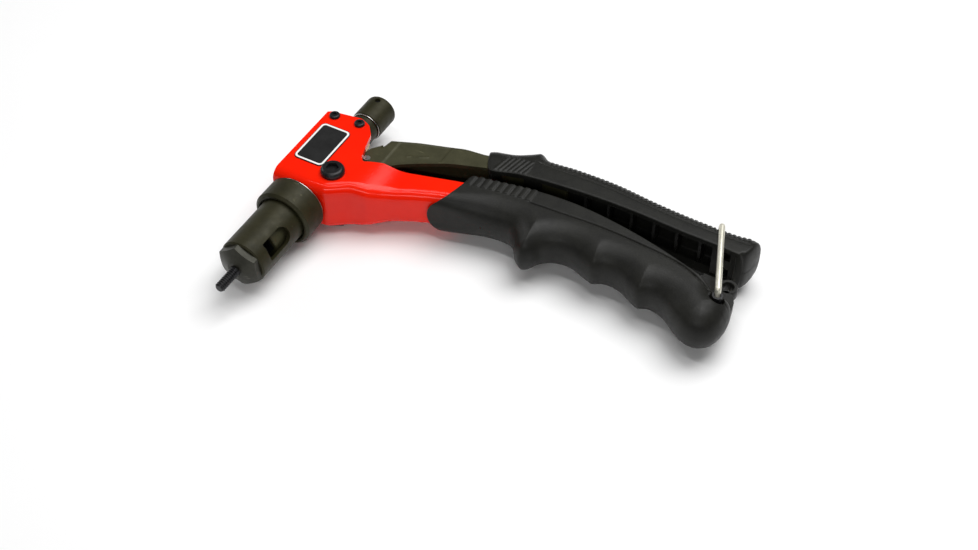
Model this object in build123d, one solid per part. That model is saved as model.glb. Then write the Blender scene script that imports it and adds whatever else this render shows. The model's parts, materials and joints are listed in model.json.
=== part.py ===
from build123d import *
import math
import os

# Hand riveter for threaded inserts, lying on its side. Millimetres.
# +X runs out of the nose, +Y along the handles, +Z up; the origin is on the
# mandrel axis in the front face of the nosepiece.

# Nose
MANDREL_R = 2.5
MANDREL_TIP_X = 13.0
MANDREL_SHANK_R = 2.3
MANDREL_TAIL_R = 4.0
NOSE_HEX_AF = 20.0
NOSE_HEX_BACK_X = -5.8
NOSE_HEX_TURN = -24.0
NOSE_FACE_R = 4.2
NOSE_CONE_X = -3.0
NOSE_BORE_R = 2.7
NOSE_SHANK_R = 8.0
NOSE_SHANK_BACK_X = -15.4
BARREL_R = 11.8
BARREL_STEP_X = -40.0
BARREL_THREAD_R = 11.0
BARREL_BACK_X = -60.5
BARREL_BORE_R = 9.5
WINDOW_X0 = -29.2
WINDOW_X1 = -12.5
WINDOW_WIDTH = 9.6
WINDOW_ANGLE = 27.0
LOCK_NUT_FRONT_X = -20.4
COLLAR_R = 15.1
COLLAR_MOUTH_R = 12.9
COLLAR_FRONT_X = -37.6

# Frame: a pressed steel channel with its fold along the front
SHEET = 2.5
HEAD_FRONT_X = -52.0
HEAD_HALF = 14.0
HANDLE_HALF = 10.5
TAPER_Y0 = 24.0
TAPER_Y1 = 42.0
FOLD_R = 2.5

# Lever and its pivot
PIVOT = (-65.3, 12.4)
PIVOT_BOLT_R = 3.5
PIVOT_HEAD_R = 5.9
PIVOT_NUT_HEIGHT = 3.0
LEVER_HALF = 10.5
LEVER_SHEET = 2.0
CAM = (-69.54, 0.75)
CAM_R = 3.0

# Puller, on the nose axis
FLANGE_FRONT_X = -72.7
FLANGE_BACK_X = -76.0
SLEEVE_R = 7.4
SLEEVE_BORE_R = 4.5
SLEEVE_FRONT_X = -51.0
SLEEVE_BACK_X = -112.9
SPINDLE_R = 4.4
SPINDLE_HEAD_R = 8.5
KNOB_R = 8.3
KNOB_FRONT_X = -113.0
KNOB_BACK_X = -129.5
BLOCK_FRONT_X = -96.0
BLOCK_BACK_X = -103.0

# Handles
LOWER_GRIP_HALF = 12.9
UPPER_GRIP_HALF = 12.5
BAIL_PIVOT = (-83.6, 203.8)
BAIL_CROSSBAR = (-124.2, 188.9)
BAIL_LEG_Z = 14.55
WIRE_R = 1.5
LUG = (-98.0, 204.0)
LUG_HOLE_R = 2.5

# Small screws through the cheeks into the rear block
SMALL_SCREWS = ((-99.6, -8.6), (-100.4, 5.4))
SCREW_R = 1.3
SCREW_HEAD_R = 2.7
LEVER_PIN = (-84.2, 19.6)

os.makedirs("parts", exist_ok=True)


def rod(x0, x1, radius):
    """Cylinder along X on the nose axis."""
    return Plane.YZ.offset(x0) * extrude(Circle(radius), x1 - x0)


def ring(x0, x1, outer, inner):
    """Tube along X on the nose axis."""
    return rod(x0, x1, outer) - rod(x0 - 1, x1 + 1, inner)


def post(centre, z0, z1, radius):
    """Cylinder along Z at a point of the side view."""
    return Pos(centre[0], centre[1], z0) * extrude(Circle(radius), z1 - z0)


def rounded(outline):
    """Closed side-view face with a radius at each of its corners."""
    face = make_face(Polyline(*[(x, y) for x, y, _ in outline], close=True))
    for x, y, radius in outline:
        if radius:
            corner = face.vertices().sort_by_distance((x, y, 0))[0]
            face = fillet(corner, radius)
    return face


def slab(outline, half):
    """Side-view outline, extruded both ways from the mid-plane."""
    return extrude(rounded(outline), half, both=True)


def hexagon_x(x0, x1, across_flats):
    """Hexagonal bar along X."""
    section = RegularPolygon(across_flats / 2, 6, major_radius=False)
    return Plane.YZ.offset(x0) * extrude(section, x1 - x0)


def width_limit(half_head, half_handle):
    """Everything between the two side faces, which close in below the head."""
    upper = [
        (-40.0, half_head, 0),
        (TAPER_Y0, half_head, 30),
        (TAPER_Y1, half_handle, 30),
        (230.0, half_handle, 0),
    ]
    lower = [(y, -half, radius) for y, half, radius in reversed(upper)]
    section = Plane.YZ * rounded(upper + lower)
    return Pos(-90, 0, 0) * extrude(section, 80, both=True)


def along_fold(body):
    """Long edges where the two cheeks meet the folded front of the frame."""
    path = Polyline(*[(x, y) for x, y, _ in FRAME_BACK[-1:] + SPINE])
    found = []
    for edge in body.edges():
        middle = edge.center()
        if abs(middle.Z) > 9 and path.distance_to(Vector(middle.X, middle.Y, 0)) < 1.2:
            found.append(edge)
    return found


# Side-view outlines as (x, y, corner radius)
SPINE = [
    (-52.0, 5.0, 8),
    (-53.2, 15.0, 7),
    (-59.6, 24.2, 14),
    (-62.2, 33.0, 12),
    (-67.8, 41.7, 20),
    (-72.1, 50.2, 40),
    (-76.3, 60.0, 60),
    (-81.0, 74.0, 60),
    (-84.5, 94.0, 60),
]
FRAME_BACK = [
    (-85.5, 136.0, 3),
    (-99.5, 136.0, 3),
    (-99.0, 112.0, 40),
    (-95.5, 82.0, 40),
    (-91.6, 65.5, 40),
    (-88.0, 52.6, 20),
    (-84.2, 38.5, 12),
    (-83.2, 30.0, 3),
    (-78.6, 21.0, 1.2),
    (-81.1, 18.7, 2.5),
    (-96.7, 14.3, 4),
    (-102.0, 10.1, 4),
    (-104.6, 4.4, 5),
    (-102.1, -11.6, 2),
    (-100.5, -13.2, 2),
    (-52.0, -13.7, 0),
]
OPEN_BACK = [
    (-85.5, 160.0, 0),
    (-140.0, 160.0, 0),
    (-140.0, -30.0, 0),
    (-52.0, -30.0, 0),
]
LEVER_OUTLINE = [
    (-62.0, 19.4, 5),
    (-83.0, 29.3, 8),
    (-88.4, 35.5, 20),
    (-93.6, 43.7, 40),
    (-100.6, 56.4, 40),
    (-107.0, 74.8, 40),
    (-110.6, 92.0, 60),
    (-112.6, 112.0, 3),
    (-121.6, 112.0, 3),
    (-123.8, 93.0, 8),
    (-117.6, 80.5, 12),
    (-114.6, 68.0, 20),
    (-113.6, 57.8, 20),
    (-110.8, 49.8, 40),
    (-106.5, 35.9, 40),
    (-101.1, 23.1, 2.5),
    (-96.3, 22.0, 4),
    (-91.6, 18.0, 6),
    (-80.0, 14.0, 12),
    (-71.4, 9.0, 2),
    (-61.0, 8.4, 4),
]
LEVER_INSIDE = [
    (-50.0, -5.0, 0),
    (-50.0, 30.0, 0),
    (-75.0, 70.0, 0),
    (-75.0, 130.0, 0),
    (-119.8, 130.0, 0),
    (-119.8, 109.0, 0),
    (-121.6, 93.4, 5),
    (-115.6, 81.2, 12),
    (-112.5, 68.3, 20),
    (-111.6, 58.3, 20),
    (-108.9, 50.6, 40),
    (-104.6, 36.6, 40),
    (-99.7, 25.3, 2),
    (-95.0, 24.6, 0),
    (-95.0, -5.0, 0),
]
CAM_ARM = [
    (-71.4, 1.4, 0),
    (-67.6, 0.1, 0),
    (-61.5, 10.5, 0),
    (-68.4, 11.5, 0),
]
LUG_OUTLINE = [
    (-86.0, 200.5, 0),
    (-94.0, 201.5, 0),
    (-98.6, 199.2, 4.0),
    (-103.4, 203.2, 4.0),
    (-99.5, 209.0, 4.3),
    (-90.0, 210.8, 8),
    (-84.0, 211.5, 0),
]
LOWER_GRIP = [
    (-72.4, 58.6, 2),
    (-75.6, 74.4, 30),
    (-79.6, 92.0, 12),
    (-79.6, 101.5, 5),
    (-68.2, 110.6, 4.5),
    (-68.6, 115.8, 4.5),
    (-79.4, 121.2, 8),
    (-80.8, 132.0, 12),
    (-75.2, 144.6, 5),
    (-79.4, 153.0, 7),
    (-71.6, 169.2, 4.5),
    (-75.2, 176.0, 7),
    (-63.6, 194.0, 12),
    (-63.0, 205.0, 8),
    (-70.0, 211.8, 8),
    (-86.6, 212.2, 4),
    (-87.0, 200.0, 20),
    (-91.8, 191.5, 30),
    (-98.3, 168.8, 60),
    (-102.8, 146.3, 80),
    (-105.0, 124.5, 80),
    (-104.0, 103.7, 80),
    (-100.5, 84.0, 60),
    (-97.3, 69.8, 3),
    (-90.3, 68.4, 6),
    (-80.3, 65.6, 6),
]
UPPER_POCKET = [
    (-120.0, 114.0, 0),
    (-125.6, 114.0, 0),
    (-126.0, 135.0, 60),
    (-123.8, 157.0, 60),
    (-122.6, 178.0, 60),
    (-122.6, 184.0, 0),
    (-120.4, 186.0, 0),
    (-120.4, 201.0, 1.5),
    (-100.0, 201.0, 0),
    (-100.0, 114.0, 0),
]
UPPER_GRIP = [
    (-121.4, 68.6, 3),
    (-125.2, 80.0, 20),
    (-133.0, 91.4, 5),
    (-129.2, 98.4, 9),
    (-130.4, 112.6, 60),
    (-130.4, 134.0, 80),
    (-127.9, 156.0, 80),
    (-126.7, 177.0, 60),
    (-126.7, 197.0, 20),
    (-127.9, 205.6, 5),
    (-123.4, 210.6, 4),
    (-113.4, 208.8, 3),
    (-110.9, 204.8, 1.5),
    (-111.4, 191.7, 60),
    (-111.7, 172.6, 80),
    (-112.8, 151.7, 80),
    (-112.8, 131.0, 80),
    (-111.5, 110.4, 80),
    (-108.9, 90.2, 60),
    (-104.8, 75.5, 2),
]



def frame_hollow():
    """Space between the cheeks, behind the fold."""
    hollow = extrude(offset(rounded(SPINE + OPEN_BACK), -SHEET), 20, both=True)
    return hollow & width_limit(HEAD_HALF - SHEET, HANDLE_HALF - SHEET)


def frame_channel():
    """Pressed channel: two cheeks joined by the fold along the front."""
    body = slab(SPINE + FRAME_BACK, 20) & width_limit(HEAD_HALF, HANDLE_HALF)
    body = fillet(along_fold(body), FOLD_R)
    body -= frame_hollow()
    body -= rod(-60, -40, BARREL_THREAD_R + 0.05)
    body -= post(PIVOT, -20, 20, PIVOT_BOLT_R)
    for centre in SMALL_SCREWS:
        body -= post(centre, -20, 20, SCREW_R)
    return body


def nose_bush():
    """Threaded bush that carries the barrel behind the frame's front wall."""
    bush = rod(-59.5, HEAD_FRONT_X - SHEET, 12.3) & frame_hollow()
    return bush - rod(-80, -40, BARREL_THREAD_R + 0.05)


def rear_block():
    """Block between the cheeks that guides the puller and backs its spring."""
    depth = BLOCK_FRONT_X - BLOCK_BACK_X
    middle = (BLOCK_FRONT_X + BLOCK_BACK_X) / 2
    block = Pos(middle, -1.7, 0) * Box(depth, 19.2, 2 * (HEAD_HALF - SHEET))
    block = fillet(block.edges().filter_by(Axis.X), 1.5)
    block -= rod(BLOCK_BACK_X - 1, BLOCK_FRONT_X + 1, SLEEVE_R + 1.2)
    for centre in SMALL_SCREWS:
        for low, high in ((HEAD_HALF - SHEET - 3.4, 20), (-20, SHEET + 3.4 - HEAD_HALF)):
            block -= post(centre, low, high, SCREW_R)
    return block


def guide_bush():
    """Plain bearing in the rear block."""
    return ring(BLOCK_BACK_X, BLOCK_FRONT_X, SLEEVE_R + 1.2, SLEEVE_R + 0.05)


def small_screws(turn):
    """Two button-head screws through one cheek into the rear block."""
    shank = post((0, 0), HEAD_HALF - SHEET - 3.3, HEAD_HALF, SCREW_R)
    screw = shank + button_head((0, 0), HEAD_HALF, 1.5, SCREW_HEAD_R, 2.0)
    return Compound(children=[Pos(x, y, 0) * Rot(turn, 0, 0) * screw for x, y in SMALL_SCREWS])


def button_head(centre, z0, height, radius, across_flats):
    """Domed screw head with a hexagon socket, standing on z0."""
    head = post(centre, z0, z0 + height, radius)
    head = fillet(head.edges().group_by(Axis.Z)[-1], height * 0.62)
    socket = extrude(RegularPolygon(across_flats / 2, 6, major_radius=False), height)
    return head - Pos(centre[0], centre[1], z0 + height * 0.4) * socket


def pivot_bolt():
    """Fulcrum bolt of the lever, head on the upper cheek."""
    shank = post(PIVOT, -HEAD_HALF - PIVOT_NUT_HEIGHT - 0.2, HEAD_HALF, PIVOT_BOLT_R)
    return shank + button_head(PIVOT, HEAD_HALF, 3.2, PIVOT_HEAD_R, 5.6)


def pivot_nut():
    """Thin nut on the lower end of the fulcrum bolt."""
    blank = extrude(RegularPolygon(5.5, 6, major_radius=False), PIVOT_NUT_HEIGHT)
    nut = Pos(PIVOT[0], PIVOT[1], -HEAD_HALF - PIVOT_NUT_HEIGHT) * blank
    return nut - post(PIVOT, -30, 0, PIVOT_BOLT_R)


def pivot_bushing():
    """Spacer tube on the bolt between the lever's cheeks."""
    half = LEVER_HALF - LEVER_SHEET - 0.02
    return post(PIVOT, -half, half, PIVOT_BOLT_R + 0.8) - post(PIVOT, -20, 20, PIVOT_BOLT_R)


def pivot_washers():
    """Two washers that fill the gaps between frame and lever cheeks."""
    washer = post(PIVOT, LEVER_HALF + 0.02, HEAD_HALF - SHEET, 5.6)
    washer -= post(PIVOT, 0, 20, PIVOT_BOLT_R)
    lower = Pos(0, 0, -HEAD_HALF + SHEET - LEVER_HALF - 0.02) * washer
    return Compound(children=[washer, lower])


def label_plate():
    """Blank data plate on the upper cheek."""
    plate = extrude(RectangleRounded(26.3, 16.0, 2.0), 0.4)
    return Pos(-78.9, -2.4, HEAD_HALF) * plate


def return_spring():
    """Compression spring around the puller sleeve."""
    turns = 6
    length = FLANGE_BACK_X - 1.2 - BLOCK_FRONT_X - 1.4
    path = Helix(length / turns, length, 8.7)
    coil = sweep(Plane((8.7, 0, 0), z_dir=(path % 0)) * Circle(0.65), path=path, is_frenet=True)
    return Pos(BLOCK_FRONT_X + 0.7, 0, 0) * Rot(0, 90, 0) * coil


def spring_seat_washer():
    """Washer between the spring and the puller's flange."""
    return ring(FLANGE_BACK_X - 1.2, FLANGE_BACK_X, 9.6, SLEEVE_R)


def puller_sleeve():
    """Draw tube with the flange that the lever's cams push against."""
    tube = rod(SLEEVE_BACK_X, SLEEVE_FRONT_X, SLEEVE_R)
    tube = chamfer(tube.edges().filter_by(GeomType.CIRCLE), 0.4)
    ears = rod(FLANGE_BACK_X, FLANGE_FRONT_X, 10.8) & Box(300, 9, 40)
    tube += rod(FLANGE_BACK_X, FLANGE_FRONT_X, 8.4) + ears
    return tube - rod(-140, -40, SLEEVE_BORE_R)


def thrust_bearing():
    """Bearing washer that lets the spindle turn under the pull."""
    return ring(-51.0, -48.0, 7.2, SPINDLE_R + 0.02)


def spindle():
    """Head with the mandrel socket, on a shaft that runs back to the knob."""
    head = rod(-48.0, -30.6, SPINDLE_HEAD_R)
    head = chamfer(head.edges().filter_by(GeomType.CIRCLE), 0.8)
    shaft = rod(-128.0, -48.0, SPINDLE_R)
    return head + shaft - rod(-46.0, -30.0, MANDREL_TAIL_R)


def mandrel():
    """Threaded draw rod: tail in the spindle, plain neck, working thread."""
    tail = rod(-44.0, LOCK_NUT_FRONT_X, MANDREL_TAIL_R)
    neck = rod(LOCK_NUT_FRONT_X, 0.0, MANDREL_SHANK_R)
    thread = rod(0.0, MANDREL_TIP_X, MANDREL_R)
    thread = chamfer(thread.edges().group_by(Axis.X)[-1], 0.7)
    return tail + neck + thread


def mandrel_lock_nut():
    """Hexagon nut that locks the mandrel's tail."""
    nut = hexagon_x(-30.4, LOCK_NUT_FRONT_X, 13.0)
    return nut - rod(-40, -10, MANDREL_TAIL_R)


def knob():
    """Turning knob on the spindle's rear end."""
    body = rod(KNOB_BACK_X, KNOB_FRONT_X, KNOB_R)
    body = fillet(body.edges().group_by(Axis.X)[0], 2.2)
    body = chamfer(body.edges().group_by(Axis.X)[-1], 0.9)
    body -= rod(-128.0, -110, SPINDLE_R)
    return body - post((-125.4, 0), 0, 20, 1.5)


def knob_set_screw():
    """Grub screw that holds the knob on its shaft."""
    screw = post((-125.4, 0), SPINDLE_R, 6.6, 1.5)
    socket = extrude(RegularPolygon(0.75, 6, major_radius=False), 3)
    return screw - Pos(-125.4, 0, 5.2) * socket


def nose_barrel():
    """Barrel with a window on each side and a thread behind the collar."""
    body = rod(BARREL_STEP_X, NOSE_HEX_BACK_X, BARREL_R)
    body = chamfer(body.edges().group_by(Axis.X)[-1], 0.7)
    body += rod(BARREL_BACK_X, BARREL_STEP_X, BARREL_THREAD_R)
    body -= rod(-70, NOSE_SHANK_BACK_X, BARREL_BORE_R)
    body -= rod(-30, 0, NOSE_SHANK_R)
    half = WINDOW_WIDTH / 2
    window = slab(
        [
            (WINDOW_X0, -half, half - 0.1),
            (WINDOW_X0, half, half - 0.1),
            (WINDOW_X1, half, 1.0),
            (WINDOW_X1, -half, 1.0),
        ],
        40,
    )
    return body - Rot(WINDOW_ANGLE - 90, 0, 0) * window


def nosepiece():
    """Hexagonal anvil with a conical front, screwed into the barrel."""
    corner_r = NOSE_HEX_AF / math.sqrt(3) - 0.1
    profile = make_face(
        Polyline(
            (NOSE_HEX_BACK_X, 0),
            (NOSE_HEX_BACK_X, corner_r),
            (NOSE_CONE_X, corner_r),
            (0, NOSE_FACE_R),
            (0, 0),
            close=True,
        )
    )
    head = Rot(NOSE_HEX_TURN, 0, 0) * hexagon_x(NOSE_HEX_BACK_X, 0.0, NOSE_HEX_AF)
    head &= revolve(profile, Axis.X)
    shank = rod(NOSE_SHANK_BACK_X, NOSE_HEX_BACK_X, NOSE_SHANK_R)
    return head + shank - rod(-30, 10, NOSE_BORE_R)


def lock_collar():
    """Lock ring on the barrel's thread against the frame."""
    body = rod(HEAD_FRONT_X + 0.02, COLLAR_FRONT_X, COLLAR_R)
    body = chamfer(body.edges().filter_by(GeomType.CIRCLE), 1.2)
    body -= rod(-60, -30, BARREL_THREAD_R + 0.05)
    return body - rod(BARREL_STEP_X - 0.05, -30, COLLAR_MOUTH_R)


def lever_channel():
    """Pressed lever: two cheeks inside the frame, closed along the outside."""
    body = slab(LEVER_OUTLINE, LEVER_HALF)
    body -= slab(LEVER_INSIDE, LEVER_HALF - LEVER_SHEET)
    cheeks = slab(CAM_ARM, LEVER_HALF) + post(CAM, -LEVER_HALF, LEVER_HALF, CAM_R)
    cheeks += post(PIVOT, -LEVER_HALF, LEVER_HALF, 6.4)
    body += cheeks - Box(400, 400, 2 * (LEVER_HALF - LEVER_SHEET))
    body -= post(LEVER_PIN, -20, 20, 1.7)
    return body - post(PIVOT, -20, 20, PIVOT_BOLT_R + 0.05)


def lever_pin():
    """Rivet pin through the lever's cheeks at the frame's notch."""
    return post(LEVER_PIN, -LEVER_HALF - 0.6, LEVER_HALF + 0.6, 1.7)


def lower_grip():
    """Moulded finger grip around the frame's tongue, with the lanyard lug."""
    body = slab(LOWER_GRIP, LOWER_GRIP_HALF)
    body = fillet(body.faces().filter_by(Axis.Z).edges(), 3.0)
    lug = slab(LUG_OUTLINE, 3.0)
    body += lug - post(LUG, -5, 5, LUG_HOLE_R)
    body -= slab(SPINE + FRAME_BACK, 20) & width_limit(HEAD_HALF, HANDLE_HALF)
    return body - post(BAIL_PIVOT, -20, 20, WIRE_R + 1.0)


def bail_pivot_sleeve():
    """Steel sleeve in the grip that the wire's ends turn in."""
    sleeve = post(BAIL_PIVOT, -11.4, 11.4, WIRE_R + 1.0)
    return sleeve - post(BAIL_PIVOT, -20, 20, WIRE_R + 0.05)


def upper_grip():
    """Moulded palm grip: a shell that is open and ribbed towards the frame."""
    body = slab(UPPER_GRIP, UPPER_GRIP_HALF)
    outside = body.faces().filter_by(Axis.Z).edges()
    body = fillet([edge for edge in outside if edge.center().X < -114.5], 6.0)
    pocket = slab(UPPER_POCKET, UPPER_GRIP_HALF - 2.2)
    for y in (122.0, 134.0, 146.0, 158.0, 170.0, 182.0, 194.0):
        pocket -= Pos(-116, y, 0) * Box(40, 1.6, 60)
    body -= pocket
    body -= slab(LEVER_OUTLINE, LEVER_HALF)
    qx, qy = BAIL_CROSSBAR
    notch = Pos(qx - 10, qy, 0) * Box(20, 2 * WIRE_R + 0.2, 40)
    return body - notch - post(BAIL_CROSSBAR, -20, 20, WIRE_R + 0.1)


def wire_bail():
    """Bent wire that hooks over the palm grip and holds the handles shut."""
    px, py = BAIL_PIVOT
    qx, qy = BAIL_CROSSBAR
    route = [
        (px, py, 8.0),
        (px, py, BAIL_LEG_Z),
        (qx, qy, BAIL_LEG_Z),
        (qx, qy, -BAIL_LEG_Z),
        (px, py, -BAIL_LEG_Z),
        (px, py, -8.0),
    ]
    path = FilletPolyline(*route, radius=3.0)
    return sweep(Plane((px, py, 8.0), z_dir=(0, 0, 1)) * Circle(WIRE_R), path=path)


PARTS = [
    (frame_channel(), "frame_channel"),
    (nose_bush(), "nose_bush"),
    (rear_block(), "rear_block"),
    (guide_bush(), "guide_bush"),
    (small_screws(0), "rear_screws_upper"),
    (small_screws(180), "rear_screws_lower"),
    (pivot_bolt(), "pivot_bolt"),
    (pivot_nut(), "pivot_nut"),
    (pivot_bushing(), "pivot_bushing"),
    (pivot_washers(), "pivot_washers"),
    (label_plate(), "label_plate"),
    (return_spring(), "return_spring"),
    (spring_seat_washer(), "spring_seat_washer"),
    (puller_sleeve(), "puller_sleeve"),
    (thrust_bearing(), "thrust_bearing"),
    (spindle(), "spindle"),
    (mandrel(), "mandrel"),
    (mandrel_lock_nut(), "mandrel_lock_nut"),
    (knob(), "knob"),
    (knob_set_screw(), "knob_set_screw"),
    (nose_barrel(), "nose_barrel"),
    (nosepiece(), "nosepiece"),
    (lock_collar(), "lock_collar"),
    (lever_channel(), "lever_channel"),
    (lever_pin(), "lever_pin"),
    (lower_grip(), "lower_grip"),
    (bail_pivot_sleeve(), "bail_pivot_sleeve"),
    (upper_grip(), "upper_grip"),
    (wire_bail(), "wire_bail"),
]

for shape, node in PARTS:
    export_step(shape, "parts/" + node + ".step")
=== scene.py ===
import json
import math

import bpy
import numpy as np
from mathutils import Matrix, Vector

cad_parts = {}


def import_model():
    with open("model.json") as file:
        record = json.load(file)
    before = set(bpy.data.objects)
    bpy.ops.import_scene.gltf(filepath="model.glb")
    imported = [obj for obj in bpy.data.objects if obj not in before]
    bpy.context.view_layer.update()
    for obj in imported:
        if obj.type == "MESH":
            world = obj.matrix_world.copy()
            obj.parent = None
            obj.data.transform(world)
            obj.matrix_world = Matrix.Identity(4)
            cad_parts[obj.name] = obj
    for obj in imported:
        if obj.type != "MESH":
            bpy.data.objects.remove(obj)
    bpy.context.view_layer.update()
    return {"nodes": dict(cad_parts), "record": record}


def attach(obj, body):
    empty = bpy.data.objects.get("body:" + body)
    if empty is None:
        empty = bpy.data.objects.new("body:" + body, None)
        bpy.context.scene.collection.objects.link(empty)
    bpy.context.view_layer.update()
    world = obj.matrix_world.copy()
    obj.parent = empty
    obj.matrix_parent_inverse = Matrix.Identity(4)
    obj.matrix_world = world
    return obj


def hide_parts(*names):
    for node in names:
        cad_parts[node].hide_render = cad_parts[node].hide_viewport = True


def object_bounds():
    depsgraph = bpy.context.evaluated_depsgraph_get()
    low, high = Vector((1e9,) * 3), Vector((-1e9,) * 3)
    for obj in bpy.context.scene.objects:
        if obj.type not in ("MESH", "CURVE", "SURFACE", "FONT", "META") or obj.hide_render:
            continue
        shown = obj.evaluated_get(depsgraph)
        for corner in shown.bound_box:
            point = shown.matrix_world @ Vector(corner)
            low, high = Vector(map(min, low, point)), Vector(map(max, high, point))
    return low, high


MM = 0.001

# Camera, in millimetres in the shared frame
LENS = 55.22
SENSOR = 36.0
LOOK_AT = Vector((-54.36, 103.8, -0.17))
CAMERA_AT = Vector((354.34, 329.7, 509.43))

# Lights
WORLD_STRENGTH = 0.08
KEY_POWER = 11.0
SIDE_POWER = 1.8
STRIP_POWER = 1.8

# Finger grip, at the mid-plane: side towards the lever, end and finger side
LOWER_INNER = [
    (-74.2, 58.8), (-76.6, 62.8), (-80.3, 66.0), (-90.3, 68.8), (-96.2, 69.9), (-97.6, 71.2),
    (-100.5, 84.0), (-104.0, 103.7), (-105.0, 124.5), (-102.8, 146.3), (-98.3, 168.8),
    (-91.8, 191.5), (-88.9, 200.0), (-88.6, 207.0), (-86.2, 210.4), (-82.0, 211.7), (-77.5, 212.0),
]
LOWER_FINGER = [
    (-74.2, 58.8), (-74.6, 61.6), (-76.6, 73.4), (-79.4, 92.0), (-78.9, 100.6), (-75.0, 105.0),
    (-69.9, 108.6), (-68.2, 112.0), (-70.2, 116.2), (-76.0, 119.6), (-79.3, 124.4), (-80.2, 131.0),
    (-77.2, 140.0), (-76.0, 145.4), (-78.4, 150.4), (-78.1, 157.0), (-74.0, 165.4), (-72.3, 169.8),
    (-74.3, 175.0), (-72.5, 182.0), (-67.0, 189.9), (-63.8, 195.9), (-63.5, 203.0), (-67.0, 208.6),
    (-72.0, 211.2), (-77.5, 212.0),
]
LOWER_HALF = 12.85
LOWER_LINE = [
    (-89.6, 60.0), (-89.6, 69.8), (-92.0, 86.0), (-94.0, 103.0), (-94.8, 119.2), (-95.7, 139.3),
    (-94.8, 160.1), (-92.2, 181.2), (-86.8, 196.0), (-82.0, 213.0),
]

# Palm grip, at the mid-plane: rim towards the frame and rounded palm side
UPPER_RIM = [
    (-121.4, 68.6), (-116.0, 70.0), (-106.4, 74.4), (-104.9, 76.0), (-108.9, 90.2), (-111.5, 110.4),
    (-112.8, 131.0), (-112.8, 151.7), (-111.7, 172.6), (-111.4, 191.7), (-110.9, 203.6),
    (-111.6, 206.2), (-114.4, 207.7), (-119.0, 208.8), (-123.0, 209.2),
]
UPPER_PALM = [
    (-121.4, 68.6), (-122.6, 71.0), (-125.2, 80.0), (-128.8, 86.0), (-132.0, 90.8), (-131.8, 93.2),
    (-129.3, 97.6), (-130.2, 112.6), (-130.2, 134.0), (-127.9, 156.0), (-126.7, 177.0),
    (-126.7, 197.0), (-127.6, 203.4), (-127.2, 206.8), (-125.6, 208.7), (-123.0, 209.2),
]
UPPER_HALF = 12.45
# Bars round the two slots in the palm grip's end, as (y0, y1, z0, z1)
END_PLATE = (
    (189.5, 194.0, -9.6, 9.6), (198.4, 205.0, -9.6, 9.6),
    (194.0, 198.4, 8.4, 9.6), (194.0, 198.4, -2.8, 2.8), (194.0, 198.4, -9.6, -8.4),
)

# Wire that holds the grips together: corners at its pivot, its crossbar and the height of its legs.
# The drawn legs and crossbar lie 2 mm inside these corners, as tube() says.
BAIL_PIVOT = (-83.6, 203.8)
BAIL_CROSSBAR = (-125.0, 188.4)
BAIL_LEG_Z = 15.0
WIRE_R = 1.48

UPPER_WALL = 2.2
UPPER_LINE = [
    (-118.4, 60.0), (-120.8, 92.0), (-121.6, 113.9), (-121.4, 135.2), (-119.8, 157.2),
    (-119.0, 178.1), (-119.2, 205.0), (-119.0, 214.0),
]

# Frame at the side view, as (x, y, corner radius): folded front and open back
FRAME_FRONT = [
    (-52.0, -13.6, 0), (-52.0, 5.0, 8), (-53.2, 15.0, 7), (-59.6, 24.2, 14), (-62.2, 33.0, 12),
    (-67.8, 41.7, 20), (-72.1, 50.2, 40), (-76.3, 60.0, 60), (-81.0, 74.0, 60), (-84.0, 86.0, 0),
]
FRAME_REAR = [
    (-100.9, -13.6, 0), (-102.1, -11.6, 1.2), (-104.6, 4.4, 5), (-102.0, 10.1, 4), (-96.7, 14.3, 4),
    (-81.1, 18.7, 2.0), (-78.6, 21.0, 1.2), (-83.2, 30.0, 3), (-84.2, 38.5, 12), (-88.0, 52.6, 20),
    (-91.6, 65.5, 40), (-95.5, 82.0, 40), (-96.0, 86.0, 0),
]
FRAME_FOLD = 5.5
HEAD_HALF = 13.95
HANDLE_HALF = 10.45
SHEET = 2.5

# Lever: closed along its outside, open towards the frame
LEVER_OUTSIDE = [
    (-96.3, 21.4, 0), (-101.9, 22.4, 1.2), (-107.4, 35.7, 40), (-111.7, 49.6, 40),
    (-114.5, 57.8, 20), (-115.5, 68.0, 20), (-118.4, 80.5, 12), (-123.4, 93.0, 8),
    (-121.6, 111.0, 0),
]
LEVER_OPEN = [
    (-66.1, 21.4, 0), (-83.0, 29.3, 8), (-88.4, 35.5, 20), (-93.6, 43.7, 40),
    (-100.6, 56.4, 40), (-107.0, 74.8, 40), (-110.6, 92.0, 60), (-112.6, 111.0, 0),
]
LEVER_CHEEK = [
    (-61.2, 9.0), (-71.4, 9.3), (-80.0, 14.0), (-91.6, 17.6),
    (-96.3, 21.4), (-66.1, 21.4), (-60.4, 18.7),
]
LEVER_FOLD = 2.2
LEVER_HALF = 10.45
LEVER_SHEET = 2.0
CAM_ARM = [(-71.4, 1.4), (-67.6, 0.1), (-61.5, 10.5), (-68.4, 11.5)]
CAM = (-69.54, 0.75)
CAM_R = 3.0
PIVOT = (-65.3, 12.4)
BOSS_R = 6.4

# Blank label as (x, y, width, height), and the lanyard eye with its root and its web.
# The web is not in the CAD: it stands in a gap through which the floor would show.
LABEL = (-79.1, -2.4, 27.4, 16.6)
LUG = (-98.3, 203.9)
LUG_ROOT = [
    (-86.0, 201.0), (-94.2, 201.6), (-95.6, 204.6), (-94.0, 208.2), (-90.0, 210.0), (-84.0, 211.0),
]
LUG_RING = (
    (4.2, -2.9), (4.5, -2.3), (4.5, 2.3), (4.2, 2.9),
    (2.9, 2.9), (2.5, 2.4), (2.5, -2.4), (2.9, -2.9),
)
LUG_WEB = [(-89.5, 189.5), (-101.5, 190.8), (-101.0, 198.5), (-98.5, 201.5), (-88.9, 202.0)]

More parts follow.
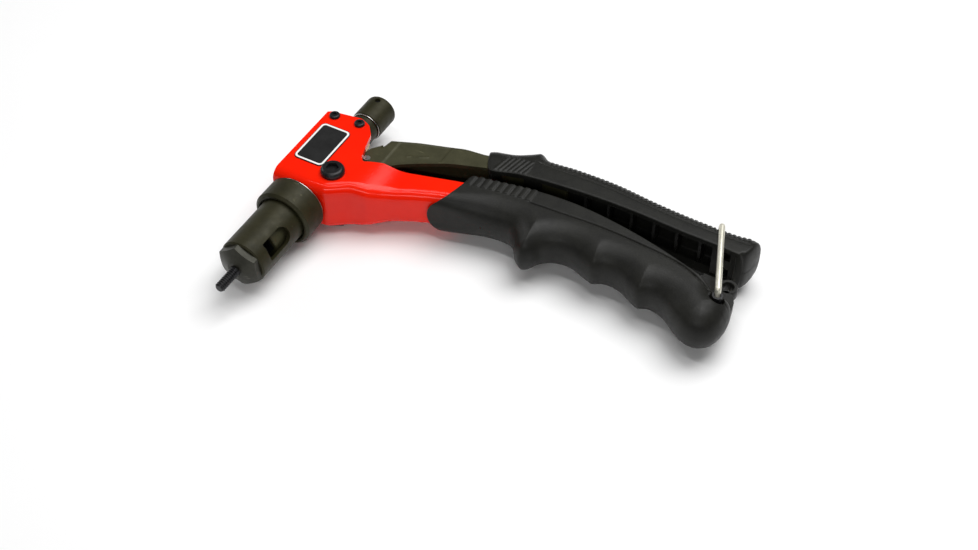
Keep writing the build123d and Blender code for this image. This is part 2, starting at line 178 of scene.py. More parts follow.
# Nose: drawn thread, coarser than the real one, and (x, radius) profiles of what turns with it
THREAD_R = 2.48
THREAD_DEPTH = 0.5
THREAD_PITCH = 1.2
MANDREL_TIP_X = 12.96
MANDREL_STEM = (
    (-43.9, 0.01), (-43.9, 3.95), (-20.4, 3.95), (-20.4, 2.3), (-0.5, 2.3), (-0.5, 0.01),
)
DRAW_SOCKET = (
    (-30.3, 0.01), (-30.3, 8.2), (-29.8, 8.7), (-21.0, 8.7), (-20.5, 8.2), (-20.5, 0.01),
)

# Cross ribs in the palm grip's pocket
RIB_ROWS = (122.0, 134.0, 146.0, 158.0, 170.0, 182.0, 192.5)


def rounded_line(points, steps=8):
    """Open line through (x, y, radius) corners, each one an arc."""
    out = [np.array(points[0][:2], float)]
    for before, here, after in zip(points[:-2], points[1:-1], points[2:]):
        p = np.array(here[:2], float)
        u = np.array(before[:2]) - p
        v = np.array(after[:2]) - p
        lu = np.linalg.norm(u)
        lv = np.linalg.norm(v)
        u = u / lu
        v = v / lv
        angle = math.acos(max(-1.0, min(1.0, float(u @ v))))
        reach = min(here[2] / math.tan(angle / 2), 0.49 * lu, 0.49 * lv)
        radius = reach * math.tan(angle / 2)
        if radius < 1e-3:
            out.append(p)
            continue
        axis = (u + v) / np.linalg.norm(u + v)
        centre = p + axis * radius / math.sin(angle / 2)
        a = p + u * reach - centre
        b = p + v * reach - centre
        for t in np.linspace(0, 1, steps):
            q = a * (1 - t) + b * t
            out.append(centre + q / np.linalg.norm(q) * radius)
    out.append(np.array(points[-1][:2], float))
    return np.array(out)


def smoothstep(low, high, value):
    """0 below the low value, 1 above the high one, and smooth between."""
    t = np.clip((value - low) / (high - low), 0.0, 1.0)
    return t * t * (3.0 - 2.0 * t)


def curve(points, step=0.4):
    """Centripetal Catmull-Rom curve through the points, as an array."""
    p = np.array(points, float)
    p = np.vstack([2 * p[0] - p[1], p, 2 * p[-1] - p[-2]])
    out = []
    for a, b, c, d in zip(p[:-3], p[1:-2], p[2:-1], p[3:]):
        t1 = np.linalg.norm(b - a) ** 0.5
        t2 = t1 + np.linalg.norm(c - b) ** 0.5
        t3 = t2 + np.linalg.norm(d - c) ** 0.5
        n = max(2, int(np.linalg.norm(c - b) / step))
        t = np.linspace(t1, t2, n, endpoint=False)[:, None]
        a1 = (t1 - t) / t1 * a + t / t1 * b
        a2 = (t2 - t) / (t2 - t1) * b + (t - t1) / (t2 - t1) * c
        a3 = (t3 - t) / (t3 - t2) * c + (t - t2) / (t3 - t2) * d
        b1 = (t2 - t) / t2 * a1 + t / t2 * a2
        b2 = (t3 - t) / (t3 - t1) * a2 + (t - t1) / (t3 - t1) * a3
        out.append((t2 - t) / (t2 - t1) * b1 + (t - t1) / (t2 - t1) * b2)
    out.append(p[-2][None, :])
    return np.vstack(out)


def x_at(line, y):
    """Where a curve that rises along Y crosses each y."""
    order = np.maximum.accumulate(line[:, 1] + np.arange(len(line)) * 1e-7)
    return np.interp(y, order, line[:, 0])


def distance(line, x, y):
    """Distance of each point of a grid from a curve."""
    flat = np.stack([x.ravel(), y.ravel()], 1)
    best = np.full(len(flat), 1e9)
    for a, b in zip(line[:-1], line[1:]):
        ab = b - a
        t = np.clip(((flat - a) @ ab) / max(ab @ ab, 1e-12), 0, 1)
        gap = np.linalg.norm(flat - a - t[:, None] * ab, axis=1)
        best = np.minimum(best, gap)
    return best.reshape(x.shape)


def rounding(gap, radius, power=2.0):
    """Height of a rounded edge, 0 at the edge and 1 from the radius on."""
    t = 1.0 - np.clip(gap / radius, 0.0, 1.0)
    return (1.0 - t**power) ** (1.0 / power)


def new_object(name, verts, faces, body, mat, smooth=60.0):
    """Mesh in millimetres that rides on a body and has a material slot."""
    mesh = bpy.data.meshes.new(name)
    mesh.from_pydata([tuple(float(c) * MM for c in v) for v in verts], [], faces)
    mesh.validate()
    mesh.update()
    mesh.materials.append(mat)
    obj = bpy.data.objects.new(name, mesh)
    bpy.context.scene.collection.objects.link(obj)
    mesh.polygons.foreach_set("use_smooth", [True] * len(mesh.polygons))
    mesh.set_sharp_from_angle(angle=math.radians(smooth))
    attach(obj, body)
    return obj


def eased(n):
    """0 to 1 in n steps that are closer together at both ends."""
    return (1.0 - np.cos(np.linspace(0.0, math.pi, n))) / 2.0


def grip_grid(left, right, middle, rows, low_count, high_count):
    """Points between two sides of a grip, with a column on its parting line."""
    y_low = left[0, 1]
    y_high = left[-1, 1]
    ends = eased(9)[:5] * 4.0
    inner = np.linspace(y_low + 2.0, y_high - 2.0, rows)
    y = np.concatenate([y_low + ends[:-1], inner, (y_high - ends[:-1])[::-1]])
    x0 = x_at(left, y)
    x1 = x_at(right, y)
    xm = x_at(middle, y)
    if x1.mean() > x0.mean():
        xm = np.clip(xm, x0 + 0.2 * (x1 - x0), x0 + 0.8 * (x1 - x0))
    else:
        xm = np.clip(xm, x0 + 0.8 * (x1 - x0), x0 + 0.2 * (x1 - x0))
    ta = eased(low_count)[None, :]
    tb = eased(high_count)[None, 1:]
    xa = x0[:, None] + ta * (xm - x0)[:, None]
    xb = xm[:, None] + tb * (x1 - xm)[:, None]
    x = np.hstack([xa, xb])
    return x, np.repeat(y[:, None], x.shape[1], 1)


def shell_faces(rows, cols, offset, flip):
    """Quads over a grid of points, with the other side out when flipped."""
    faces = []
    for r in range(rows - 1):
        for c in range(cols - 1):
            a = offset + r * cols + c
            quad = (a, a + 1, a + cols + 1, a + cols)
            faces.append(quad[::-1] if flip else quad)
    return faces


def ribs(x, y, line, edge, y0, pitch, count, slant, height):
    """Raised slanted tabs between the parting line and an edge."""
    across = (x - x_at(line, y)) / (x_at(edge, y) - x_at(line, y))
    v = (y - slant * across - y0) / pitch
    phase = v - np.floor(v)
    bar = smoothstep(0.16, 0.24, phase) * (1 - smoothstep(0.76, 0.84, phase))
    along = smoothstep(0.05, 0.1, across) * (1 - smoothstep(0.86, 0.92, across))
    inside = (v > 0) & (v < count)
    return height * bar * along * inside


def lower_grip(mat):
    """Finger grip: flat strip along the lever side, full round on the fingers.

    It has a recess at the wire's pivot, but no bore for the wire.
    """
    left = curve(LOWER_INNER)
    right = curve(LOWER_FINGER)
    middle = curve(LOWER_LINE)
    x, y = grip_grid(left, right, middle, 380, 34, 60)
    split = int(np.argmin(np.abs(left[:, 1] - 70.6) + 100 * (left[:, 1] > 120)))
    d_front = distance(left[: split + 1], x, y)
    end = int(np.argmin(np.abs(left[:, 1] - 203.0)))
    d_side = distance(left[split : end + 1], x, y)
    d_round = distance(np.vstack([right, left[end:][::-1]]), x, y)
    reach = 6.5 + 6.7 * smoothstep(62.0, 92.0, y)
    z = LOWER_HALF - reach * (1 - rounding(d_round, reach, 2.1))
    z = np.where(d_round < 1e-6, 0.0, z) * rounding(d_side, 1.6) * rounding(d_front, 1.4)
    gap = np.abs(x - x_at(middle, y))
    on = smoothstep(103.0, 104.0, y) * (1 - smoothstep(197.0, 201.0, y))
    z -= 0.8 * np.exp(-((gap / 0.42) ** 2)) * on * (z > 6)
    fade = smoothstep(103.0, 125.0, y) * np.exp(-np.clip(x - x_at(middle, y), 0, None) / 5.0)
    z -= 0.3 * smoothstep(0.0, 0.8, x - x_at(middle, y)) * fade * (z > 6)
    z += (ribs(x, y, middle, left, 70.6, 3.72, 9, 0.3, 0.55) - 0.3) * smoothstep(7.0, 10.0, z)
    hollow = distance(np.array([BAIL_PIVOT, BAIL_PIVOT]), x, y)
    z -= 2.8 * (1 - smoothstep(2.6, 4.4, hollow)) * (z > 9)
    rows, cols = x.shape
    top = np.stack([x, y, z], 2).reshape(-1, 3)
    bottom = np.stack([x, y, -z], 2).reshape(-1, 3)
    faces = shell_faces(rows, cols, 0, False) + shell_faces(rows, cols, rows * cols, True)
    verts = np.vstack([top, bottom])
    obj = new_object("lower_grip_moulding", verts, faces, "frame", mat)
    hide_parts("lower_grip")


def upper_grip(mat):
    """Palm grip: a thick-walled shell that is open towards the frame.

    It has a pit at the wire's crossbar, but not the CAD's notch.
    """
    rim = curve(UPPER_RIM)
    palm = curve(UPPER_PALM)
    middle = curve(UPPER_LINE)
    x, y = grip_grid(rim, palm, middle, 360, 22, 44)
    split = int(np.argmin(np.abs(rim[:, 1] - 75.6) + 100 * (rim[:, 1] > 120)))
    end = int(np.argmin(np.abs(rim[:, 1] - 205.0)))
    last = int(np.argmin(np.abs(palm[:, 1] - 206.4)))
    d_palm = distance(palm[: last + 1], x, y)
    d_end = distance(np.vstack([palm[last:], rim[end:][::-1]]), x, y)
    d_front = distance(rim[: split + 1], x, y)
    front = 0.94 + 0.06 * rounding(d_front, 1.4)
    z = UPPER_HALF * rounding(d_palm, 12.0, 2.6) * rounding(d_end, 3.0, 2.6) * front
    across = np.abs(x - x_at(rim, y))
    rim_on = 1 - smoothstep(203.0, 206.0, y)
    z -= 0.5 * (1 - rounding(across, 1.1)) * rim_on
    pit = distance(np.array([BAIL_CROSSBAR, BAIL_CROSSBAR]) - (0.4, 1.0), x, y)
    z -= 4.0 * (1 - smoothstep(1.9, 2.3, pit))
    line_gap = np.abs(x - x_at(middle, y))
    line_on = smoothstep(94.0, 96.0, y) * (1 - smoothstep(203.0, 206.0, y))
    z -= 0.4 * np.exp(-((line_gap / 0.4) ** 2)) * line_on

    # dots in rows along the palm side
    zone = smoothstep(0.5, 1.2, x_at(middle, y) - x) * smoothstep(97, 101, y)
    zone *= (1 - smoothstep(203, 206, y)) * smoothstep(-7, -5, x_at(palm, y) - x)
    row = np.floor((z + 40.0) / 3.0)
    dots = np.clip(np.sin(2 * math.pi * (y / 2.4 + 0.5 * row) + 0.5 * z), -0.4, 1.0)
    strips = smoothstep(0.0, 0.3, 1.0 - 2.0 * np.abs(np.mod(z + 40.0, 3.0) / 3.0 - 0.5))
    lift = 0.36 * dots * strips * zone
    panel = ribs(x, y, rim, middle, 76.8, 2.3, 7, 3.0, 0.6) * (y < 93.4)
    z = np.clip(z + panel - 0.3, 0, UPPER_HALF)
    z[:, -1] = 0
    top = np.stack([x, y, z], 2)
    normal = np.cross(np.gradient(top, axis=0), np.gradient(top, axis=1))
    normal /= np.maximum(np.linalg.norm(normal, axis=2, keepdims=True), 1e-9)
    normal *= np.where(normal[:, :, 2:] < 0, -1.0, 1.0)
    normal[:, -1] = (-1.0, 0.0, 0.0)
    top = top + lift[:, :, None] * normal
    top[:, :, 2] = np.minimum(top[:, :, 2], UPPER_HALF)
    outer = np.concatenate([top, (top * (1, 1, -1))[:, ::-1][:, 1:]], 1)

    # pocket: in from the rim, along the wall and across the floor
    yy = y[:, 0]
    x_rim = x[:, 0]
    depth = 11.0 * (1 - smoothstep(200.6, 201.2, yy)) * smoothstep(70.5, 78.0, yy)
    floor = np.maximum(x_at(palm, yy) + 2.6, x_rim - depth)
    floor = np.minimum(floor, x_rim)
    half = np.maximum(z[:, 0] - UPPER_WALL, 0.4)
    inner = []
    for share, lift_z in ((0.0, 1.0), (0.5, 1.0), (0.95, 0.98), (1.0, 0.9), (1.0, 0.0)):
        inner.append(np.stack([x_rim + share * (floor - x_rim), yy, half * lift_z], 1))
    for share, lift_z in ((1.0, 0.9), (0.95, 0.98), (0.5, 1.0), (0.0, 1.0)):
        inner.append(np.stack([x_rim + share * (floor - x_rim), yy, -half * lift_z], 1))
    inner = np.stack(inner, 1)
    loop = np.concatenate([outer, inner[:, ::-1]], 1)
    rows, cols = loop.shape[:2]
    faces = []
    for r in range(rows - 1):
        for c in range(cols):
            d = (c + 1) % cols
            faces.append((r * cols + c, (r + 1) * cols + c, (r + 1) * cols + d, r * cols + d))
    faces.append(tuple(range(cols)))
    faces.append(tuple(range((rows - 1) * cols, rows * cols))[::-1])
    obj = new_object("upper_grip_moulding", loop.reshape(-1, 3), faces, "lever", mat)
    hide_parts("upper_grip")


def channel(name, folded, opened, half_at, fold, wall, relief, body, mat):
    """Sheet channel: a top and a bottom cheek joined along the folded side."""
    y0 = max(folded[0, 1], opened[0, 1])
    y1 = min(folded[-1, 1], opened[-1, 1])
    rows = int((y1 - y0) / 0.35)
    y = np.linspace(y0, y1, rows)
    xf = x_at(folded, y)
    xo = x_at(opened, y)
    half = half_at(y)[:, None]
    towards_fold = 0.5 + 0.5 * eased(60)[30:]
    t = np.unique(np.concatenate([np.linspace(0, 0.75, 30), towards_fold]))[None, :]
    x = xo[:, None] + t * (xf - xo)[:, None]
    yy = np.repeat(y[:, None], x.shape[1], 1)
    d = np.clip(distance(folded, x, yy), 0, fold)
    d[:, -1] = 0
    z = half - fold + np.sqrt(fold**2 - (fold - d) ** 2) + relief(x, yy)
    side = np.sign(xo - xf).mean()
    xi = xo[:, None] + t * (xf + side * wall - xo)[:, None]
    di = np.clip(distance(folded, xi, yy), wall, fold)
    di[:, -1] = wall
    zi = half - fold + np.sqrt(np.maximum((fold - wall) ** 2 - (fold - di) ** 2, 0))
    outer = np.stack([x, yy, z], 2)
    inner = np.stack([xi, yy, zi], 2)
    flip = np.array((1, 1, -1))
    loop = np.concatenate([outer, (outer * flip)[:, ::-1], inner * flip, inner[:, ::-1]], 1)
    rows, cols = loop.shape[:2]
    turn = side < 0
    faces = []
    for r in range(rows - 1):
        for c in range(cols):
            e = (c + 1) % cols
            quad = (r * cols + c, r * cols + e, (r + 1) * cols + e, (r + 1) * cols + c)
            faces.append(quad if turn else quad[::-1])
    half_count = cols // 2
    for r in (0, rows - 1):
        for c in range(half_count - 1):
            a = r * cols + c
            b = r * cols + cols - 1 - c
            quad = (a, a + 1, b - 1, b)
            faces.append(quad[::-1] if (r == 0) == turn else quad)
    return new_object(name, loop.reshape(-1, 3), faces, body, mat, 40)


def cut_rod(obj, x0, x1, radius, sides=72):
    """Take a round hole along the nose axis away from a piece."""
    profile = ((x0, radius), (x1, radius))
    a = np.linspace(0, 2 * math.pi, sides, endpoint=False)
    verts = [(x * MM, r * math.cos(t) * MM, r * math.sin(t) * MM) for x, r in profile for t in a]
    faces = [(j, (j + 1) % sides, sides + (j + 1) % sides, sides + j) for j in range(sides)]
    faces += [tuple(range(sides))[::-1], tuple(range(sides, 2 * sides))]
    mesh = bpy.data.meshes.new("hole")
    mesh.from_pydata(verts, [], faces)
    cutter = bpy.data.objects.new("hole", mesh)
    bpy.context.scene.collection.objects.link(cutter)
    modifier = obj.modifiers.new("hole", "BOOLEAN")
    modifier.operation = "DIFFERENCE"
    modifier.solver = "EXACT"
    modifier.object = cutter
    bpy.context.view_layer.update()
    evaluated = obj.evaluated_get(bpy.context.evaluated_depsgraph_get())
    result = bpy.data.meshes.new_from_object(evaluated)
    obj.modifiers.clear()
    obj.data = result
    bpy.data.objects.remove(cutter)


def prism(name, outline, z0, z1, body, mat):
    """Flat plate with a side-view outline."""
    n = len(outline)
    verts = [(x, y, z) for z in (z0, z1) for x, y in outline]
    faces = [(i, (i + 1) % n, n + (i + 1) % n, n + i) for i in range(n)]
    faces += [tuple(range(n))[::-1], tuple(range(n, 2 * n))]
    return new_object(name, verts, faces, body, mat, 30)


def disc(centre, radius, sides=48):
    """Points around a circle in the side view."""
    angles = [2 * math.pi * i / sides for i in range(sides)]
    return [(centre[0] + radius * math.cos(a), centre[1] + radius * math.sin(a)) for a in angles]


def frame_channel(mat):
    """Painted frame with its broad fold along the front."""
    def half_at(y):
        return HEAD_HALF + (HANDLE_HALF - HEAD_HALF) * smoothstep(22.0, 44.0, y)

    def relief(x, y):
        return 0.0 * x

    front = rounded_line(FRAME_FRONT)
    rear = rounded_line(FRAME_REAR)
    obj = channel(
        "frame_shell", front, rear, half_at, FRAME_FOLD, SHEET, relief, "frame", mat
    )
    cut_rod(obj, -60.0, -45.0, 11.1)
    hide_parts("frame_channel")


def lever_channel(mat):
    """Pressed lever with a sunk panel and a short raised line, drawn without the bolt's hole."""
    outside = rounded_line(LEVER_OUTSIDE)
    opened = rounded_line(LEVER_OPEN)

    def half_at(y):
        return LEVER_HALF + 0.0 * y

    def relief(x, y):
        inset = np.minimum(x_at(opened, y) - x, 0.62 * (x - x_at(outside, y)) + 0.4)
        sunk = smoothstep(27.0, 28.2, y) * (1 - smoothstep(51.5, 52.3, y))
        sunk = smoothstep(1.2, 1.9, inset) * sunk
        gap = distance(np.array(((-95.3, 35.8), (-99.7, 44.5))), x, y)
        return -0.45 * sunk + 0.4 * (1 - smoothstep(0.25, 0.7, gap))

    obj = channel(
        "lever_shell", outside, opened, half_at, LEVER_FOLD, LEVER_SHEET, relief,
        "lever", mat,
    )
    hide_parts("lever_channel")
    for name, z0, z1 in (("upper", 8.5, LEVER_HALF), ("lower", -LEVER_HALF, -8.5)):
        prism("lever_cheek_" + name, LEVER_CHEEK, z0, z1, "lever", mat)
        prism("lever_cam_" + name, CAM_ARM, z0, z1, "lever", mat)
        prism("lever_cam_end_" + name, disc(CAM, CAM_R), z0, z1, "lever", mat)
        prism("lever_boss_" + name, disc(PIVOT, BOSS_R), z0, z1 - 0.02, "lever", mat)


def torus(name, x, radius, thickness, body, mat, around=96, section=10):
    """Thin ring about the nose axis."""
    verts = []
    for i in range(around):
        a = 2 * math.pi * i / around
        for j in range(section):
            b = 2 * math.pi * j / section
            r = radius + thickness * math.cos(b)
            verts.append((x + thickness * math.sin(b), r * math.cos(a), r * math.sin(a)))
    faces = []
    for i in range(around):
        for j in range(section):
            k = (i + 1) % around
            m = (j + 1) % section
            faces.append((i * section + j, i * section + m, k * section + m, k * section + j))
    return new_object(name, verts, faces, body, mat)


def rounded_rectangle(hx, hy, radius):
    """Points around a rounded rectangle, counter-clockwise."""
    loop = []
    for sx, sy, start in ((1, 1, 0), (-1, 1, 90), (-1, -1, 180), (1, -1, 270)):
        for k in range(9):
            a = math.radians(start + 90 * k / 8)
            x = sx * (hx - radius) + radius * math.cos(a)
            y = sy * (hy - radius) + radius * math.sin(a)
            loop.append((LABEL[0] + x, LABEL[1] + y))
    return loop


def label_plate(mat, ink):
    """Blank data plate with a white line around it."""
    hx, hy = LABEL[2] / 2, LABEL[3] / 2
    plate = prism("label_blank", rounded_rectangle(hx, hy, 2.6), 13.9, 14.4, "frame", mat)
    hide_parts("label_plate")
    outer = rounded_rectangle(hx - 0.35, hy - 0.35, 2.3)
    inner = rounded_rectangle(hx - 1.3, hy - 1.3, 1.5)
    n = len(outer)
    verts = [(x, y, z) for z in (14.35, 14.5) for loop in (outer, inner) for x, y in loop]
    faces = []
    for i in range(n):
        j = (i + 1) % n
        faces.append((2 * n + i, 2 * n + j, 3 * n + j, 3 * n + i))
        faces.append((i, j, 2 * n + j, 2 * n + i))
        faces.append((n + j, n + i, 3 * n + i, 3 * n + j))
    new_object("label_border", verts, faces, "frame", ink, 30)


def lanyard_lug(mat):
    """Small ring at the end of the finger grip, with its root and web."""
    prism("lug_web", LUG_WEB, -2.0, 2.0, "frame", mat)
    n = 40
    verts = []
    for radius, z in LUG_RING:
        verts += [(x, y, z) for x, y in disc(LUG, radius, n)]
    faces = []
    for ring in range(len(LUG_RING)):
        after = (ring + 1) % len(LUG_RING)
        for i in range(n):
            j = (i + 1) % n
            faces.append((ring * n + i, ring * n + j, after * n + j, after * n + i))
    new_object("lanyard_lug", verts, faces, "frame", mat, 50)
    prism("lanyard_root", LUG_ROOT, -2.9, 2.9, "frame", mat)


def box_faces(offset):
    """Faces of a box whose eight corners start at the offset."""
    quads = ((0, 3, 2, 1), (4, 5, 6, 7), (0, 1, 5, 4), (1, 2, 6, 5), (2, 3, 7, 6), (3, 0, 4, 7))
    return [tuple(offset + i for i in quad) for quad in quads]


def pocket_ribs(mat):
    """Cross ribs inside the open side of the palm grip."""
    verts = []
    faces = []
    rim = curve(UPPER_RIM)
    for y in RIB_ROWS:
        x0 = float(x_at(rim, y)) - 5.0
        x1 = float(x_at(rim, y)) - 11.3
        for dy in (-0.7, 0.7):
            for px, pz in ((x0, -10.2), (x0, 10.2), (x1, 9.2), (x1, -9.2)):
                verts.append((px, y + dy, pz))
        faces += box_faces(len(verts) - 8)
    for y0, y1, z0, z1 in END_PLATE:
        for y in (y0, y1):
            for px, pz in ((-112.6, z0), (-112.6, z1), (-114.6, z1), (-114.6, z0)):
                verts.append((px, y, pz))
        faces += box_faces(len(verts) - 8)
    new_object("upper_grip_ribs", verts, faces, "lever", mat, 30)


def tube(name, corners, bend, radius, body, mat, sides=28):
    """Round wire along 3-D corners.

    slerp gives vectors of length 1, so every bend has a radius of 1 mm about the centre that
    the wanted bend would have, and the runs between bends lie (bend - 1) mm inside the corners.
    """
    path = [Vector(corners[0])]
    for before, here, after in zip(corners[:-2], corners[1:-1], corners[2:]):
        p = Vector(here)
        u = (Vector(before) - p).normalized()
        v = (Vector(after) - p).normalized()
        angle = u.angle(v)
        reach = bend / math.tan(angle / 2)
        centre = p + (u + v).normalized() * bend / math.sin(angle / 2)
        a = p + u * reach - centre
        b = p + v * reach - centre
        for k in range(13):
            path.append(centre + a.slerp(b, k / 12))
    path.append(Vector(corners[-1]))
    verts = []
    normal = None
    for i, p in enumerate(path):
        along = (path[min(i + 1, len(path) - 1)] - path[max(i - 1, 0)]).normalized()
        if normal is None:
            normal = along.orthogonal().normalized()
        normal = (normal - along * normal.dot(along)).normalized()
        side = along.cross(normal)
        for j in range(sides):
            t = 2 * math.pi * j / sides
            verts.append(p + radius * (math.cos(t) * normal + math.sin(t) * side))
    return new_object(name, verts, ring_faces(len(path), sides), body, mat, 50)


def thread(name, x0, x1, radius, depth, pitch, body, mat, sides=40):
    """Screw thread about the nose axis, with a chamfered tip at x1."""
    rows = int((x1 - x0) / (pitch / 8)) + 1
    x = np.linspace(x0, x1, rows)
    a = np.linspace(0, 2 * math.pi, sides, endpoint=False)
    phase = (x[:, None] / pitch + a[None, :] / (2 * math.pi)) % 1.0
    crest = np.clip(np.abs(phase - 0.5) * 2.6 - 0.3, 0, 1)
    r = radius - depth * crest
    tip = np.clip((x1 - x) / 0.9, 0, 1)[:, None]
    r = np.minimum(r, radius - 0.75 * (1 - tip))
    verts = np.stack([np.repeat(x[:, None], sides, 1), r * np.cos(a), r * np.sin(a)], 2)
    verts = verts.reshape(-1, 3)
    return new_object(name, verts, ring_faces(rows, sides), body, mat, 35)


def ring_faces(rings, sides):
    """Quads between rings of points, and a flat face over each end."""
    faces = []
    for i in range(rings - 1):
        for j in range(sides):
            k = (j + 1) % sides
            faces.append((i * sides + j, i * sides + k, (i + 1) * sides + k, (i + 1) * sides + j))
    faces.append(tuple(range(sides))[::-1])
    faces.append(tuple(range((rings - 1) * sides, rings * sides)))
    return faces


def turned(name, profile, body, mat, sides=96, smooth=35):
    """Solid of revolution about the nose axis from (x, radius) points."""
    a = np.linspace(0, 2 * math.pi, sides, endpoint=False)
    verts = [(x, r * math.cos(t), r * math.sin(t)) for x, r in profile for t in a]
    return new_object(name, verts, ring_faces(len(profile), sides), body, mat, smooth)


class Nodes:
    """Small helper to write a procedural material."""

    def __init__(self, name):
        self.mat = bpy.data.materials.new(name)
        self.mat.use_nodes = True
        self.tree = self.mat.node_tree
        self.shader = self.tree.nodes["Principled BSDF"]

    def add(self, kind):
        return self.tree.nodes.new(kind)

    def link(self, a, b):
        self.tree.links.new(a, b)

    def coords(self):
        return self.add("ShaderNodeTexCoord").outputs["Object"]

    def noise(self, scale, detail=4.0, rough=0.6, stretch=None):
        source = self.coords()
        if stretch:
            mapping = self.add("ShaderNodeMapping")
            mapping.inputs["Scale"].default_value = stretch
            self.link(source, mapping.inputs["Vector"])
            source = mapping.outputs["Vector"]
        node = self.add("ShaderNodeTexNoise")
        node.inputs["Scale"].default_value = scale
        node.inputs["Detail"].default_value = detail
        node.inputs["Roughness"].default_value = rough
        self.link(source, node.inputs["Vector"])
        return node.outputs["Fac"]

    def ramp(self, source, stops):
        node = self.add("ShaderNodeValToRGB")
        ramp = node.color_ramp
        while len(ramp.elements) < len(stops):
            ramp.elements.new(0.5)
        for element, (at, value) in zip(ramp.elements, stops):
            element.position = at
            color = value if isinstance(value, tuple) else (value,) * 3
            element.color = (*color, 1.0)
        self.link(source, node.inputs["Fac"])
        return node.outputs["Color"]

    def mix(self, factor, a, b):
        node = self.add("ShaderNodeMix")
        node.data_type = "RGBA"
        for socket, value in ((0, factor), (6, a), (7, b)):
            if isinstance(value, bpy.types.NodeSocket):
                self.link(value, node.inputs[socket])
            else:
                node.inputs[socket].default_value = value if socket == 0 else (*value, 1.0)
        return node.outputs[2]

    def bump(self, source, strength, depth):
        node = self.add("ShaderNodeBump")
        node.inputs["Strength"].default_value = strength
        node.inputs["Distance"].default_value = depth
        self.link(source, node.inputs["Height"])
        self.link(node.outputs["Normal"], self.shader.inputs["Normal"])

    def set(self, **values):
        for key, value in values.items():
            self.shader.inputs[key.replace("_", " ")].default_value = value

    def color(self, source):
        self.link(source, self.shader.inputs["Base Color"])

    def roughness(self, source):
        self.link(source, self.shader.inputs["Roughness"])


def paint(name, low, high):
    """Glossy lacquer with slight cloudiness, dust specks and a fine orange peel."""
    m = Nodes(name)
    m.set(Metallic=0.0, Specular_IOR_Level=0.25)
    m.color(m.ramp(m.noise(60.0, 5.0), ((0.35, low), (0.7, high))))
    m.roughness(m.ramp(m.noise(220.0, 6.0), ((0.3, 0.13), (0.75, 0.2))))
    m.bump(m.noise(700.0, 2.0), 0.03, 0.0001)
    return m.mat


def steel(name, low, high, metallic, rough, grain=900.0, scuff=0.0, bump=0.12):
    """Treated steel: blotchy colour, grainy roughness and light scuffs."""
    m = Nodes(name)
    m.set(Metallic=metallic, Specular_IOR_Level=0.25)
    base = m.ramp(m.noise(90.0, 8.0, 0.7), ((0.32, low), (0.7, high)))
    if scuff:
        marks = m.ramp(m.noise(500.0, 3.0, 0.5, (1.0, 0.12, 1.0)), ((0.68, 0.0), (0.78, scuff)))
        base = m.mix(marks, base, tuple(min(1.0, 2.6 * c + 0.02) for c in high))
    m.color(base)
    m.roughness(m.ramp(m.noise(260.0, 8.0), ((0.3, rough[0]), (0.75, rough[1]))))
    m.bump(m.noise(grain, 6.0), bump, 0.0002)
    return m.mat


def plastic(name, low, high, rough, grain, bump):
    """Moulded plastic with a fine grained surface."""
    m = Nodes(name)
    m.set(Metallic=0.0, Specular_IOR_Level=0.2)
    m.color(m.ramp(m.noise(120.0, 6.0), ((0.3, low), (0.72, high))))
    m.roughness(m.ramp(m.noise(400.0, 6.0), ((0.3, rough[0]), (0.75, rough[1]))))
    m.bump(m.noise(grain, 4.0), bump, 0.0003)
    return m.mat


def stage_plane():
    """Pale floor under the tool."""
    low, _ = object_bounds()
    mesh = bpy.data.meshes.new("floor")
    half = 4.0
    z = low[2] - 0.0002
    corners = [(-half, -half, z), (half, -half, z), (half, half, z), (-half, half, z)]
    mesh.from_pydata(corners, [], [(0, 1, 2, 3)])
    floor = bpy.data.objects.new("floor", mesh)
    bpy.context.scene.collection.objects.link(floor)
    m = Nodes("floor")
    m.color(m.ramp(m.noise(3.0), ((0.3, (0.93, 0.93, 0.93)), (0.7, (0.95, 0.95, 0.95)))))
    m.set(Roughness=0.9, Specular_IOR_Level=0.0)
    floor.data.materials.append(m.mat)


def area_light(name, at, aim, size, power):
    """Soft rectangular light, in millimetres."""
    data = bpy.data.lights.new(name, "AREA")
    data.shape = "RECTANGLE"
    data.size = size[0] * MM
    data.size_y = size[1] * MM
    data.energy = power
    light = bpy.data.objects.new(name, data)
    light.location = Vector(at) * MM
    light.rotation_euler = (Vector(aim) - Vector(at)).to_track_quat("-Z", "Y").to_euler()
    bpy.context.scene.collection.objects.link(light)


def camera():
    """Camera above the handles' side of the tool."""
    data = bpy.data.cameras.new("camera")
    data.lens = LENS
    data.sensor_width = SENSOR
    data.clip_start = 0.01
    cam = bpy.data.objects.new("camera", data)
    cam.location = CAMERA_AT * MM
    cam.rotation_euler = (LOOK_AT - CAMERA_AT).to_track_quat("-Z", "Y").to_euler()
    bpy.context.scene.collection.objects.link(cam)
    bpy.context.scene.camera = cam


def world():
    """Weak even light from all around."""
    scene_world = bpy.data.worlds.new("studio")
    scene_world.use_nodes = True
    background = scene_world.node_tree.nodes["Background"]
    background.inputs["Color"].default_value = (1.0, 1.0, 1.0, 1.0)
    background.inputs["Strength"].default_value = WORLD_STRENGTH
    bpy.context.scene.world = scene_world
    bpy.context.scene.view_settings.view_transform = "Standard"


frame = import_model()

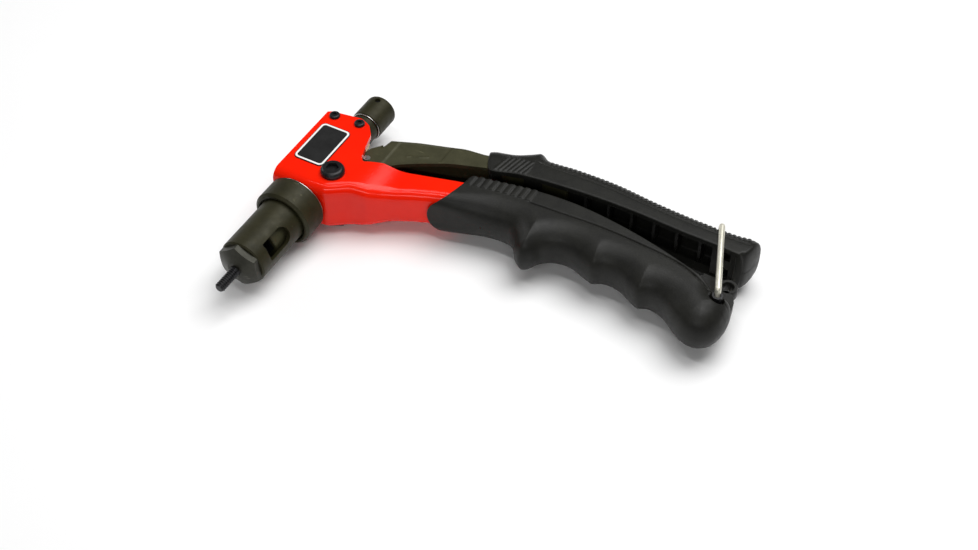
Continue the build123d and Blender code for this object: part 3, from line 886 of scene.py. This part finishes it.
FINISH = {
    "frame_paint": paint("orange_paint", (0.86, 0.011, 0.0008), (0.93, 0.014, 0.001)),
    "dark_steel": steel(
        "dark_steel", (0.017, 0.016, 0.006), (0.034, 0.031, 0.013), 0.25, (0.42, 0.62), 1400.0, 0.5
    ),
    "black_oxide": steel(
        "black_oxide", (0.016, 0.016, 0.017), (0.04, 0.04, 0.042), 0.6, (0.25, 0.4), 1200.0, 0.3
    ),
    "plain_steel": steel("plain_steel", (0.5, 0.5, 0.5), (0.62, 0.62, 0.6), 1.0, (0.22, 0.36)),
    "bronze": steel("bronze", (0.42, 0.27, 0.1), (0.52, 0.36, 0.16), 1.0, (0.3, 0.42)),
    "nickel_wire": steel(
        "nickel_wire", (0.74, 0.72, 0.60), (0.86, 0.84, 0.74), 0.8, (0.42, 0.5), 200.0, 0.0, 0.01
    ),
    "black_grip": plastic(
        "black_grip", (0.009, 0.009, 0.008), (0.015, 0.015, 0.0125), (0.36, 0.5), 1500.0, 0.25
    ),
    "label": plastic("label", (0.012, 0.012, 0.012), (0.02, 0.02, 0.02), (0.35, 0.45), 900.0, 0.05),
}
LEVER_STEEL = steel(
    "lever_steel", (0.036, 0.035, 0.016), (0.060, 0.057, 0.028), 0.25, (0.42, 0.6), 1400.0, 0.5
)
NOSE_STEEL = steel(
    "nose_steel", (0.020, 0.020, 0.014), (0.044, 0.043, 0.033), 0.4, (0.35, 0.5), 1400.0, 0.6
)
WHITE_INK = plastic("white_ink", (0.82, 0.82, 0.8), (0.88, 0.88, 0.86), (0.4, 0.5), 900.0, 0.05)
for entry in frame["record"]["subparts"]:
    node = frame["nodes"][entry["node"]]
    node.data.materials.clear()
    node.data.materials.append(FINISH[entry["material_slot"]])
frame["nodes"]["nosepiece"].data.materials[0] = NOSE_STEEL
frame["nodes"]["bail_pivot_sleeve"].data.materials[0] = FINISH["black_oxide"]

frame_channel(FINISH["frame_paint"])
lever_channel(LEVER_STEEL)
label_plate(FINISH["label"], WHITE_INK)
lanyard_lug(FINISH["black_grip"])
# Thin bright steel rings round an edge of the collar and of the knob: partly metal worn bare on the
# chamfer, partly a painted highlight.
torus("collar_worn_rim_and_highlight", -51.5, 14.2, 0.3, "collar", FINISH["plain_steel"])
torus("knob_worn_rim_and_highlight", -113.1, 7.75, 0.28, "spindle", FINISH["plain_steel"])
lower_grip(FINISH["black_grip"])
upper_grip(FINISH["black_grip"])
pocket_ribs(FINISH["black_grip"])
mandrel = thread(
    "mandrel_thread", -0.6, MANDREL_TIP_X, THREAD_R, THREAD_DEPTH, THREAD_PITCH,
    "spindle", FINISH["black_oxide"],
)
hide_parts("mandrel")
turned("draw_socket", DRAW_SOCKET, "spindle", LEVER_STEEL)
wire = [(*BAIL_PIVOT, 8.0), (*BAIL_PIVOT, BAIL_LEG_Z), (*BAIL_CROSSBAR, BAIL_LEG_Z)]
wire += [(x, y, -z) for x, y, z in reversed(wire)]
bail = tube("bail_wire", wire, 3.0, WIRE_R, "bail", FINISH["nickel_wire"])
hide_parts("wire_bail")
turned("mandrel_stem", MANDREL_STEM, "spindle", FINISH["black_oxide"])

stage_plane()
area_light("key", (-420, 260, 960), (-80, 100, 0), (800, 900), KEY_POWER)
area_light("side", (-250, -900, 500), (-80, 60, 0), (500, 500), SIDE_POWER)
area_light("strip_high", (160, 40, 980), (-70, 40, 0), (800, 14), STRIP_POWER)
area_light("strip_low", (640, 280, 660), (-70, 40, 0), (800, 14), STRIP_POWER)
world()
camera()
